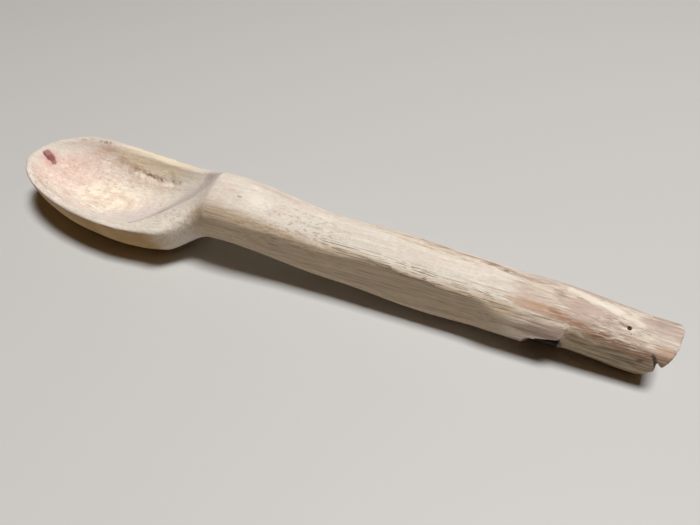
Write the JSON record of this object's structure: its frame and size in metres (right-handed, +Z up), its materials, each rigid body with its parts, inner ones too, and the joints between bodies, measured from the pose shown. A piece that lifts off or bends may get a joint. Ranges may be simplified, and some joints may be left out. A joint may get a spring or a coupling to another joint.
{
  "type": "wooden spoon",
  "caption": "Hand-whittled wooden spoon with a hollowed oval bowl, a thick squared handle and a stub of uncarved branch at its end.",
  "frame": {"origin": "on the table under the middle of the spoon's overall length and width", "axes": "+X from the bowl's tip to the butt, +Z up out of the bowl, +Y to the spoon's far side"},
  "size_m": [0.193, 0.0336, 0.0251],
  "materials": {
    "carved_wood": "raw carved wood with tool facets, not oiled",
    "bark": "dry dark bark"
  },
  "bodies": {
    "root": {"spoon": "carved_wood", "bark_remnant": "bark"}
  },
  "joints": []
}
